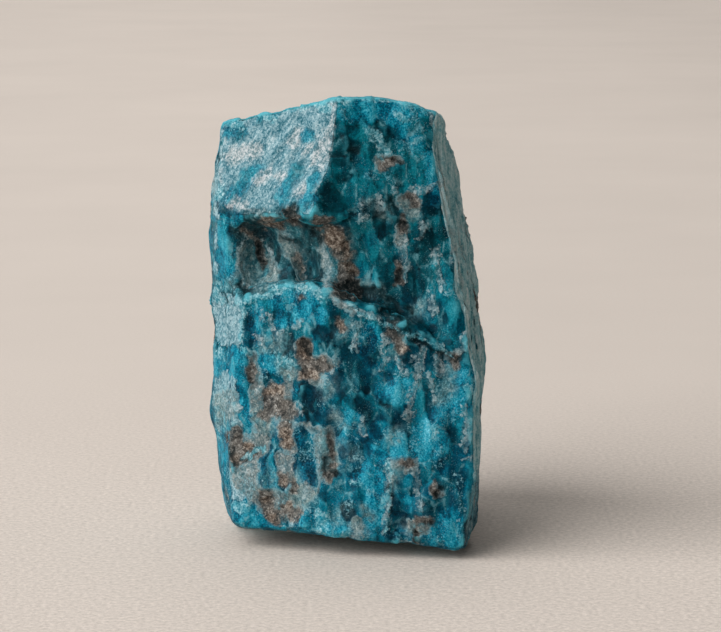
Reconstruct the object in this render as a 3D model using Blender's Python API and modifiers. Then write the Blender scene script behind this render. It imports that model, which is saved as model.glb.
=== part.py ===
"""A rough, unpolished chunk of blue apatite that stands upright on a broken base.

The stone is one solid. Its bulk is a loft through rings, the undercut and the hollow in its
front are cut out of that loft, and the broken surface is then worked into the mesh: flakes,
pockets, rounded grains and the ribs of its splintery side.

Metres, +Z up. The origin is at the middle of the stone's box, on the surface that it stands
on. The broad front with the ledge looks towards -Y.
"""

import math

import bmesh
import bpy
from mathutils import Euler, Vector, noise

MM = 0.001

# Driving dimensions of the stone.
HEIGHT = 50 * MM
WIDTH = 31 * MM
DEPTH = 35 * MM

# How fine the mesh is: the grid it is fused on, and the triangles left at the end.
GRID = 0.45 * MM
TRIANGLES = 9000

# A corner this near the floor is taken to be on it.
SNAP = 0.05 * MM

# The relief of the broken surface.
FLAKE_STEP = 0.32 * MM
RIB_HEIGHT = 0.45 * MM
SPLINTER_HEIGHT = 0.16 * MM
POCKET_DEPTH = 0.55 * MM
GRAIN_HEIGHT = 0.45 * MM

# Flakes lie in two sizes, width and height in drawn millimetres.
BROAD_FLAKE = (5.0, 8.5)
NARROW_FLAKE = (1.9, 4.2)
NARROW_SHARE = 0.7
NARROW_SHIFT = Vector((31.0, 7.0, 3.0))

# How many of them go to a drawn millimetre across, in depth and upward.
BROAD_RIBS = Vector((0.25, 0.62, 0.055))
THIN_RIBS = Vector((0.5, 1.5, 0.11))
THIN_RIBS_SHIFT = Vector((9.0, 0.0, 0.0))
SPLINTERS = Vector((0.8, 0.8, 0.17))
SPLINTERS_SHIFT = Vector((0.0, 0.0, 5.0))

# How far a way of looking has to go towards the front, the right, the left or the level
# for a face to count as such: not at all at the first number, fully at the second.
FRONT_FACE = (0.25, 0.6)
SPLINTERY_FACE = (0.55, 0.9)
LEVEL_FACE = (0.6, 0.9)
FROSTED_TO_LEFT = (0.25, 0.45)
FROSTED_TO_FRONT = (0.3, 0.55)

# Where the frosted face and the hollow fade in, in drawn millimetres, and the top of the
# lower block, which has the pockets and the grains.
FROSTED_FROM = (36.6, 37.6)
HOLLOW_FROM = (27.5, 29.0)
HOLLOW_UP_TO = (38.0, 37.0)
HOLLOW_RIGHT_TO = (1.5, 0.0)
BLOCK_TOP = 28.5

# The same breaks come out on every run.
SEED = 11

COLOUR = (0.02, 0.16, 0.21, 1.0)
ROUGHNESS = 0.42

# Places below are drawn in millimetres on a stone of this size, and then fitted to the
# driving dimensions.
DRAWN = Vector((31.0, 35.0, 50.0))
FIT = Vector((WIDTH / DRAWN.x, DEPTH / DRAWN.y, HEIGHT / DRAWN.z))

# The stone's upright edges, seen from above and anticlockwise: front left, ridge, front
# middle, front right, right, back right, back, back left, left.
RINGS = {
    "sole": [
        (-9.5, 2.0, -0.4), (-2.0, -1.0, -0.5), (5.0, -4.4, -0.5), (10.6, -9.4, -0.4), (12.8, -3.0, -0.9),
        (10.5, 14.5, -0.9), (0.5, 18.5, -0.9), (-9.0, 13.0, -0.9), (-11.6, 3.0, -0.5),
    ],
    "heel": [
        (-12.8, -6.0, 1.2), (-2.5, -9.9, 1.1), (5.5, -11.5, 0.8), (12.5, -12.2, 0.5), (14.0, -4.0, 2.0),
        (12.0, 15.8, 1.4), (0.5, 20.3, 1.4), (-10.5, 15.0, 1.4), (-13.6, 2.0, 1.0),
    ],
    "low": [
        (-12.9, -5.5, 5.8), (-2.5, -9.9, 6.0), (5.5, -11.5, 5.9), (13.1, -12.3, 5.4), (14.4, -4.0, 7.0),
        (12.8, 16.8, 7.0), (0.6, 21.9, 7.0), (-11.4, 16.2, 7.0), (-14.8, 1.4, 8.4),
    ],
    "waist": [
        (-13.2, -4.4, 14.1), (-2.5, -9.4, 14.0), (5.5, -10.8, 14.0), (13.8, -11.8, 13.0), (14.8, -3.0, 13.5),
        (13.2, 17.4, 14.0), (0.4, 22.5, 14.0), (-11.8, 16.8, 14.0), (-15.5, 1.6, 14.0),
    ],
    "belly": [
        (-12.4, -4.6, 21.6), (-2.5, -9.5, 21.8), (5.6, -11.0, 21.2), (13.8, -11.2, 18.8), (15.3, 1.0, 20.5),
        (13.2, 17.2, 21.5), (0.0, 22.4, 21.5), (-12.0, 16.6, 21.5), (-15.0, 1.8, 22.5),
    ],
    "ledge": [
        (-12.2, -4.4, 28.0), (-3.0, -9.2, 29.8), (5.7, -10.5, 26.2), (13.0, -10.0, 25.0), (14.2, 2.0, 29.0),
        (12.4, 16.6, 28.0), (-0.3, 21.7, 28.0), (-11.8, 16.2, 28.0), (-15.5, 2.0, 28.0),
    ],
    "neck": [
        (-14.4, -2.2, 36.6), (-4.2, -9.6, 37.4), (4.2, -8.8, 36.0), (11.1, -8.0, 35.5), (13.5, 2.0, 34.0),
        (11.0, 15.8, 36.0), (-0.6, 20.0, 36.0), (-11.2, 15.2, 36.0), (-15.8, 2.2, 36.5),
    ],
    "brow": [
        (-14.3, -0.4, 42.4), (-2.0, -8.0, 43.2), (4.0, -7.7, 43.0), (9.7, -6.9, 43.0), (12.0, 3.0, 41.0),
        (9.6, 14.6, 41.4), (-1.0, 17.8, 40.8), (-10.6, 14.0, 40.4), (-15.0, 3.0, 41.0),
    ],
    "crown": [
        (-14.2, 0.6, 46.6), (-1.3, -6.4, 49.9), (2.8, -6.2, 50.0), (9.8, -6.0, 48.1), (10.4, 0.0, 46.6),
        (8.2, 12.4, 44.4), (-1.2, 14.8, 43.5), (-9.8, 11.8, 42.2), (-14.0, 3.4, 45.0),
    ],
}

# The undercut above the ledge, as upright sections across the front from left to right:
# x, then (y, z) at the foot of its wall, in the wall, under its roof and at the roof's lip.
UNDERCUT = {
    -13.6: [(-3.4, 28.4), (-3.0, 31.0), (-3.0, 33.5), (-3.2, 35.6)],
    -12.2: [(-3.5, 28.2), (-2.9, 31.0), (-2.9, 34.2), (-3.8, 36.4)],
    -10.8: [(-3.3, 28.4), (-2.4, 31.5), (-2.4, 34.9), (-5.0, 36.7)],
    -9.0: [(-3.7, 29.0), (-2.6, 32.5), (-2.8, 35.3), (-7.0, 37.0)],
    -6.5: [(-4.6, 29.6), (-3.4, 33.0), (-3.8, 35.7), (-8.8, 37.2)],
    -4.0: [(-5.8, 29.8), (-4.8, 33.0), (-5.2, 36.0), (-10.2, 37.5)],
    -1.8: [(-6.5, 29.5), (-6.2, 32.6), (-7.0, 35.6), (-10.2, 37.4)],
    0.5: [(-6.3, 28.5), (-6.5, 31.4), (-7.2, 34.8), (-9.4, 38.2)],
    3.0: [(-6.5, 27.4), (-6.9, 30.6), (-7.6, 34.8), (-9.0, 39.6)],
    6.0: [(-7.5, 26.1), (-7.4, 30.0), (-8.0, 35.0), (-8.8, 40.0)],
    9.0: [(-8.9, 24.4), (-8.4, 28.0), (-8.4, 33.0), (-8.6, 38.0)],
    11.2: [(-10.2, 22.7), (-9.6, 27.0), (-9.3, 31.0), (-9.4, 36.0)],
    12.8: [(-11.8, 21.6), (-11.4, 24.0), (-11.3, 28.0), (-11.3, 33.0)],
}
IN_FRONT = -20.0

# Shell-shaped breaks: centre and size in drawn millimetres, and turn in degrees.
SCOOPS = {
    "left_scoop": {"centre": (-9.9, -3.5, 32.3), "size": (4.4, 4.0, 7.2), "turn": (6, 6, 30)},
    "middle_scoop": {"centre": (-5.2, -5.3, 32.6), "size": (3.4, 4.2, 10.0), "turn": (4, -20, 24)},
    "right_scoop": {"centre": (1.2, -7.9, 31.6), "size": (3.6, 5.0, 9.6), "turn": (2, -12, 0)},
}

# Slabs that broke away and left flat faces: a point on the face, and the way that it looks.
SLABS = {
    "upper_back": {"at": (1.0, 17.6, 38.0), "facing": (0.14, 0.86, 0.48)},
    "lower_back": {"at": (-1.0, 21.3, 12.0), "facing": (-0.14, 1.0, -0.05)},
    "back_left": {"at": (-11.4, 13.4, 22.0), "facing": (-0.84, 0.54, 0.06)},
    "back_right": {"at": (12.9, 11.6, 26.0), "facing": (0.93, 0.30, 0.08)},
    "back_foot": {"at": (4.0, 20.0, 4.2), "facing": (0.22, 0.62, -0.75)},
}
SLAB_SIZE = 60.0

# Pockets of softer brown matrix on the front: x, z, half width, half height.
POCKETS = [
    (-3.6, 21.4, 1.9, 2.6),
    (-7.6, 16.6, 2.3, 2.9),
    (-11.0, 11.6, 2.0, 2.4),
    (-7.4, 4.4, 2.5, 2.2),
    (-1.5, 13.4, 0.9, 3.0),
    (-10.4, 19.6, 0.8, 2.6),
    (-13.6, 24.8, 1.9, 2.7),
    (8.8, 9.0, 1.2, 1.0),
    (5.6, 3.8, 1.1, 1.2),
]

# Rounded grains that stand out of the front: x, z, half width, half height.
GRAINS = [
    (-14.0, 20.6, 1.5, 1.9),
    (-12.3, 14.6, 1.1, 1.8),
    (-8.9, 9.4, 0.8, 2.6),
    (-12.0, 3.6, 1.9, 1.8),
    (-5.6, 3.4, 1.5, 1.8),
    (-1.6, 2.2, 1.8, 1.7),
    (4.6, 6.6, 1.4, 1.6),
    (4.8, 10.0, 1.4, 1.4),
    (8.2, 5.0, 1.4, 2.2),
    (1.6, 17.6, 2.2, 2.6),
    (5.2, 17.2, 2.0, 2.2),
    (10.2, 14.4, 1.4, 3.6),
]


def placed(x, y, z):
    """A place drawn in millimetres, on the stone at its driving dimensions."""
    return Vector((x * FIT.x, y * FIT.y, z * FIT.z))


def drawn(place):
    """The drawn place, in millimetres, of a point on the stone."""
    return Vector((place.x / FIT.x, place.y / FIT.y, place.z / FIT.z))


def ramp(value, low, high):
    """0 up to low, 1 from high on, and a smooth rise between them. It falls where high is the lower."""
    share = min(max((value - low) / (high - low), 0.0), 1.0)
    return share * share * (3 - 2 * share)


def add_object(name, shape, collection):
    """Turns a bmesh into a named object."""
    mesh = bpy.data.meshes.new(name)
    shape.to_mesh(mesh)
    shape.free()
    made = bpy.data.objects.new(name, mesh)
    collection.objects.link(made)
    return made


def lofted(name, rings, collection):
    """A closed skin through rings that hold the same number of places, capped at both ends."""
    shape = bmesh.new()
    rows = [[shape.verts.new(placed(*place)) for place in ring] for ring in rings]
    for lower, upper in zip(rows, rows[1:]):
        for i in range(len(lower)):
            j = (i + 1) % len(lower)
            shape.faces.new((lower[i], lower[j], upper[j], upper[i]))
    shape.faces.new(list(reversed(rows[0])))
    shape.faces.new(rows[-1])
    bmesh.ops.triangulate(shape, faces=shape.faces[:])
    bmesh.ops.recalc_face_normals(shape, faces=shape.faces[:])
    return add_object(name, shape, collection)


def as_cutter(tool):
    tool.hide_render = True
    tool.display_type = "WIRE"
    return tool


def undercut_tool(collection):
    sections = []
    for x, wall in UNDERCUT.items():
        foot, lip = wall[0], wall[-1]
        outline = [(IN_FRONT, foot[1] - 0.3), *wall, (IN_FRONT, lip[1] + 2.0)]
        sections.append([(x, y, z) for y, z in outline])
    return as_cutter(lofted("undercut", sections, collection))


def scoop_tool(name, centre, size, turn, collection):
    shape = bmesh.new()
    bmesh.ops.create_icosphere(shape, subdivisions=4, radius=0.5)
    tool = add_object(name, shape, collection)
    tool.location = placed(*centre)
    tool.rotation_euler = Euler(math.radians(angle) for angle in turn)
    tool.scale = placed(*size)
    return as_cutter(tool)


def slab_tool(name, at, facing, collection):
    """A block whose face lies on the break, and which reaches outward from there."""
    shape = bmesh.new()
    bmesh.ops.create_cube(shape, size=SLAB_SIZE * MM)
    bmesh.ops.translate(shape, verts=shape.verts[:], vec=(0, 0, SLAB_SIZE * MM / 2))
    tool = add_object(name, shape, collection)
    tool.location = placed(*at)
    tool.rotation_euler = Vector(facing).to_track_quat("Z", "Y").to_euler()
    return as_cutter(tool)


def apply_modifiers(stone):
    """Works the modifiers into the mesh."""
    bpy.context.view_layer.update()
    graph = bpy.context.evaluated_depsgraph_get()
    rough = stone.data
    stone.data = bpy.data.meshes.new_from_object(stone.evaluated_get(graph))
    stone.modifiers.clear()
    bpy.data.meshes.remove(rough)


def cut_with(stone, tools):
    for tool in tools:
        cut = stone.modifiers.new(tool.name, "BOOLEAN")
        cut.operation = "DIFFERENCE"
        cut.object = tool
    apply_modifiers(stone)


def fuse(stone):
    """Lays the skin anew on an even grid."""
    remesh = stone.modifiers.new("fuse", "REMESH")
    remesh.mode = "VOXEL"
    remesh.voxel_size = GRID
    apply_modifiers(stone)


def spot(place, middle_x, middle_z, half_width, half_height):
    """How far a place lies from the middle of a ragged spot, where 1 is the spot's edge."""
    wander = noise.noise_vector(place * 0.55) * 0.35
    across = (place.x - middle_x) / half_width + wander.x
    up = (place.z - middle_z) / half_height + wander.z
    return math.hypot(across, up)


def breaks(place, width, height):
    """Tilted flat-topped breaks of about this width and height, as steps from -1 to 1."""
    stretched = Vector((place.x / width, place.y / width, place.z / height))
    stretched += noise.noise_vector(place * 0.5) * 0.18
    _, cells = noise.voronoi(stretched)
    middle = cells[0]
    tilt = noise.cell_vector(middle * 7.3)
    return 0.6 * tilt.x + (stretched - middle).dot(tilt) * 0.9


def flakes(place):
    """Narrow flakes on broad ones."""
    return breaks(place, *BROAD_FLAKE) + NARROW_SHARE * breaks(place + NARROW_SHIFT, *NARROW_FLAKE)


def ribs(place):
    """Thin upright plates."""
    broad = noise.noise(place * BROAD_RIBS)
    thin = noise.noise(place * THIN_RIBS + THIN_RIBS_SHIFT)
    return 1.0 - 2.6 * abs(broad) - abs(thin)


def splinters(place):
    """Fine upright grooves."""
    return noise.noise(place * SPLINTERS + SPLINTERS_SHIFT)


def relief(place, normal):
    """How far the broken surface stands out from the bulk at a drawn place."""
    frontal = ramp(-normal.y, *FRONT_FACE)
    splintery = ramp(normal.x, *SPLINTERY_FACE)
    level = ramp(abs(normal.z), *LEVEL_FACE)
    # The frosted face at the upper left broke clean.
    clean = ramp(place.z, *FROSTED_FROM)
    clean *= ramp(-normal.x, *FROSTED_TO_LEFT) * ramp(-normal.y, *FROSTED_TO_FRONT)
    hollow = ramp(place.z, *HOLLOW_FROM) * ramp(place.z, *HOLLOW_UP_TO)
    hollow *= ramp(place.x, *HOLLOW_RIGHT_TO) * frontal
    rough = (1 - 0.85 * clean) * (1 - 0.75 * hollow) * (1 - 0.75 * splintery)
    height = FLAKE_STEP * flakes(place) * rough
    height += SPLINTER_HEIGHT * splinters(place) * (1 - 0.8 * clean) * (1 - level)
    height += RIB_HEIGHT * ribs(place) * splintery * (1 - level)
    if place.z < BLOCK_TOP:
        for pocket in POCKETS:
            height -= POCKET_DEPTH * ramp(spot(place, *pocket), 1.1, 0.8) * frontal
        for grain in GRAINS:
            away = spot(place, *grain)
            height += GRAIN_HEIGHT * math.sqrt(max(1 - away * away, 0.0)) * frontal
    return height


def weather(stone):
    """Works the relief into the skin."""
    mesh = stone.data
    heights = [relief(drawn(vertex.co), vertex.normal) for vertex in mesh.vertices]
    outward = [vertex.normal.copy() for vertex in mesh.vertices]
    for vertex, height, normal in zip(mesh.vertices, heights, outward):
        vertex.co += normal * height
    mesh.update()


def thin_out(stone):
    """Leaves the triangles where the shape turns."""
    stone.data.calc_loop_triangles()
    decimate = stone.modifiers.new("thin out", "DECIMATE")
    decimate.ratio = TRIANGLES / len(stone.data.loop_triangles)
    decimate.use_collapse_triangulate = True
    apply_modifiers(stone)


def stand(stone):
    """Cuts the sole flat on the floor."""
    shape = bmesh.new()
    shape.from_mesh(stone.data)
    everything = shape.verts[:] + shape.edges[:] + shape.faces[:]
    cut = bmesh.ops.bisect_plane(
        shape, geom=everything, dist=SNAP, plane_co=(0, 0, 0), plane_no=(0, 0, 1), clear_inner=True
    )
    rim = [part for part in cut["geom_cut"] if isinstance(part, bmesh.types.BMEdge)]
    for edge in rim:
        for vertex in edge.verts:
            vertex.co.z = 0.0
    bmesh.ops.holes_fill(shape, edges=rim)
    bmesh.ops.triangulate(shape, faces=[face for face in shape.faces if len(face.verts) > 3])
    shape.to_mesh(stone.data)
    shape.free()


def true_up(stone):
    """Brings the box to the driving dimensions, with the origin at the middle of its underside."""
    points = [vertex.co.copy() for vertex in stone.data.vertices]
    least = Vector(min(point[axis] for point in points) for axis in range(3))
    most = Vector(max(point[axis] for point in points) for axis in range(3))
    middle = Vector(((least.x + most.x) / 2, (least.y + most.y) / 2, least.z))
    size = most - least
    for vertex, point in zip(stone.data.vertices, points):
        away = point - middle
        vertex.co = (away.x * WIDTH / size.x, away.y * DEPTH / size.y, away.z * HEIGHT / size.z)
    stone.data.update()


def give_material(stone):
    material = bpy.data.materials.new("apatite")
    material.use_nodes = True
    shader = material.node_tree.nodes["Principled BSDF"]
    shader.inputs["Base Color"].default_value = COLOUR
    shader.inputs["Roughness"].default_value = ROUGHNESS
    stone.data.materials.clear()
    stone.data.materials.append(material)


def add_collection(name):
    collection = bpy.data.collections.new(name)
    bpy.context.scene.collection.children.link(collection)
    return collection


def main():
    for old in list(bpy.data.objects):
        bpy.data.objects.remove(old)
    noise.seed_set(SEED)
    specimen = add_collection("raw apatite")
    cutters = add_collection("cutters")
    stone = lofted("apatite", list(RINGS.values()), specimen)
    tools = [undercut_tool(cutters)]
    tools += [scoop_tool(name, **scoop, collection=cutters) for name, scoop in SCOOPS.items()]
    tools += [slab_tool(name, **slab, collection=cutters) for name, slab in SLABS.items()]
    cut_with(stone, tools)
    fuse(stone)
    weather(stone)
    fuse(stone)
    thin_out(stone)
    stand(stone)
    true_up(stone)
    give_material(stone)


main()
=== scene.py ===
import math

import bmesh
import bpy
import numpy as np
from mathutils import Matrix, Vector, noise


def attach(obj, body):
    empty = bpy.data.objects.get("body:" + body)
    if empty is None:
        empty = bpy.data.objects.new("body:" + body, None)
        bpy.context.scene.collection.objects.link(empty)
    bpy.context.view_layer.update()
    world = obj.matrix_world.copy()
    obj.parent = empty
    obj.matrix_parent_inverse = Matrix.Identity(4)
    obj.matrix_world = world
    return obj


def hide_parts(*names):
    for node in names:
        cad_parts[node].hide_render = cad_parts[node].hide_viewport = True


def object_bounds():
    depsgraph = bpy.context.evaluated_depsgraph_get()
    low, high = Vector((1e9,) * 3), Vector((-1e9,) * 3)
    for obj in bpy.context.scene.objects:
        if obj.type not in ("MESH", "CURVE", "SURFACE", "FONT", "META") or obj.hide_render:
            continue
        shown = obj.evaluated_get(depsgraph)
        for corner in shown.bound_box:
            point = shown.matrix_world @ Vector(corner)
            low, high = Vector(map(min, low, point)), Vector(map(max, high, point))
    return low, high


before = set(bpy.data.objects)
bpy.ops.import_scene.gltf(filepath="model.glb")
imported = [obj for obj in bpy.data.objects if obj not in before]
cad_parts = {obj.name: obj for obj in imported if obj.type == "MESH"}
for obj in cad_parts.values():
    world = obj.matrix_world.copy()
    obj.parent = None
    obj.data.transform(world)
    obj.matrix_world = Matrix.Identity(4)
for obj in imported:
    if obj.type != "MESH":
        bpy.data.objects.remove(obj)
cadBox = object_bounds()
mm = 0.001
noise.seed_set(23)

# how the stone is looked at, in millimetres and degrees
front = cadBox[0][1] / mm
view = {
    "aim": Vector((1.5, front + 12.5, 25.0)),
    "distance": 316.5,
    "lift": 9.0,             # how far above level it is looked at from
    "lens": 141.6,
}
lift = math.radians(view["lift"])
eye = view["aim"] + view["distance"] * Vector((0, -math.cos(lift), math.sin(lift)))
print("frame loaded")


# the stone's shape, in millimetres
stone = {
    "square": 0.235,         # side of the mesh's squares
    "triangles": 190000,     # left after thinning out
    "smoothing": 2,          # rounds of smoothing before the breaks are worked in
    "bigBlocks": (1.7, 4.6),     # width and height of the upright crystals
    "smallBlocks": (0.75, 1.7),  # and of the small ones in them
    "bigSteps": 0.13,        # how far the crystals stand out of each other
    "smallSteps": 0.035,
    "splinters": 0.035,      # depth of the upright grooves
    "plates": 0.36,          # depth of the upright plates of the splintery side
    "streaks": 0.10,         # depth of the slanting streaks of the frosted face
    "grit": 0.022,           # sandy roughness
    "calm": {"frosted": 0.8, "hollow": 0.6, "vivid": 0.4, "plates": 0.5},  # share of the steps lost there
    "clear": 1.25,           # lifts the lower edge of the front off the floor
    "clearHeight": (3.6, 1.0),   # nothing at the first of each pair, all of it at the second
    "clearAcross": (20.0, 6.0),
    "clearDepth": (front + 16.5, front + 12.0),
    "frostedFace": Vector((-0.56, -0.76, 0.33)).normalized(),
    "frostedFrom": (36.4, 37.4),     # height of its lower edge
    "hollowFoot": (27.5, 29.0),      # where the hollow starts and ends
    "hollowTop": (38.0, 37.0),
    "hollowSide": (1.5, 0.0),
    "hollowDepth": (front + 4.6, front + 5.6),
    "seenFrom": (0.08, 0.36),        # how squarely a face has to look at the eye to carry the marks
    "raggedness": ((0.7, 0.5), (1.9, 0.32)),     # of the marks: how fine, and how far in millimetres
    "farthest": 1.5,         # distances from the marks are kept within this
    "ridge": 0.03,           # a point this far out of its neighbours is a sharp edge
}

# how far each kind of mark stands out of the skin
swell = {
    "matrix": -0.05, "brown": -0.12, "shade": -0.24,
    "sand": 0.03, "vivid": 0.06, "rim": 0.04, "frost": 0.04,
}

# the marks on the front are sighted from an eye a little behind the camera, on to an upright board in the stone
sight = {
    "eye": Vector((1.5, front - 303.56, 74.56)),
    "board": front + 2.7,
    "middle": (360.5, 316.0),    # of the view, in dots across and down
    "reach": 2816.0,         # from the eye to the view, in dots
    "dotsPerMm": 9.0,
}

# beyond the marks each kind follows noise: its fineness, its shift, its strength and how common the kind is
beyond = {
    "brown": ((0.30, 0.30, 0.17), 3.0, 3.4, -1.2),
    "rust": ((0.35, 0.35, 0.25), 5.0, 2.4, -1.0),
    "frost": ((0.16, 0.16, 0.10), 9.0, 3.2, -0.7),
    "vivid": ((0.26, 0.26, 0.15), 11.0, 3.0, -0.4),
    "deep": ((0.20, 0.20, 0.12), 13.0, 3.0, -0.6),
    "grey": ((0.13, 0.13, 0.09), 15.0, 3.2, -0.9),
    "shade": ((0.3, 0.3, 0.16), 17.0, 2.4, -1.0),
    # painted highlights, scattered by noise where no marks are laid
    "rim": ((0.5, 0.5, 0.4), 19.0, 2.0, -0.9),
    "white": ((0.4, 0.4, 0.3), 21.0, 2.0, -1.0),
    "matrix": ((0.20, 0.20, 0.12), 23.0, 3.4, -1.15),
    "ice": ((0.22, 0.22, 0.14), 25.0, 3.2, -1.45),
}
veins = {"finer": (0.28, 0.28, 0.12), "shift": 7.0, "narrow": 4.5, "width": 0.30, "gaps": (0.1, 0.1, 0.1)}
brightSide = {"from": -11.0, "to": -14.5, "strength": 0.9}  # the left side has more bright crystal

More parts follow.
